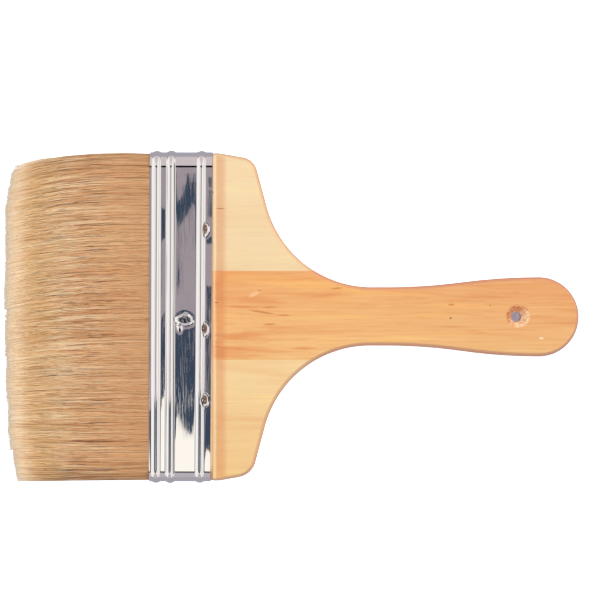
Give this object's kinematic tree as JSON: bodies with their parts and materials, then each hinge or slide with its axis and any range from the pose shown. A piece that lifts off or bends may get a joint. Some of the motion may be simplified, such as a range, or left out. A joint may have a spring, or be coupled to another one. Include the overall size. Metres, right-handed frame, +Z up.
{
  "type": "paint brush",
  "caption": "Wide flat wall brush: natural bristles set in a beaded tinplate ferrule, nailed to a shaped and glued wood handle with a hanging hole.",
  "frame": {"origin": "middle of the brush's box, on the surface that its back lies on", "axes": "+X towards the end of the handle, +Y across the brush, +Z up out of its front face"},
  "size_m": [0.265, 0.1536, 0.0184],
  "materials": {
    "grip_wood": "clear lacquer over orange-toned hardwood",
    "wing_wood": "clear lacquer over pale hardwood",
    "tinplate": "bright tinplate, lightly scratched",
    "nail_steel": "dull wire nail",
    "bristle": "natural bristle with pale flagged tips",
    "resin": "cured setting resin",
    "plug_wood": "raw sawn wood"
  },
  "bodies": {
    "root": {"handle_centre_board": "grip_wood", "handle_upper_wing": "wing_wood", "handle_lower_wing": "wing_wood", "ferrule": "tinplate", "setting_resin": "resin", "spacer_plug": "plug_wood", "bristles_front": "bristle", "bristles_back": "bristle", "front_centre_nail": "nail_steel", "front_nail_upper": "nail_steel", "front_nail_middle": "nail_steel", "front_nail_lower": "nail_steel", "back_centre_nail": "nail_steel", "back_nail_upper": "nail_steel", "back_nail_middle": "nail_steel", "back_nail_lower": "nail_steel"}
  },
  "joints": []
}
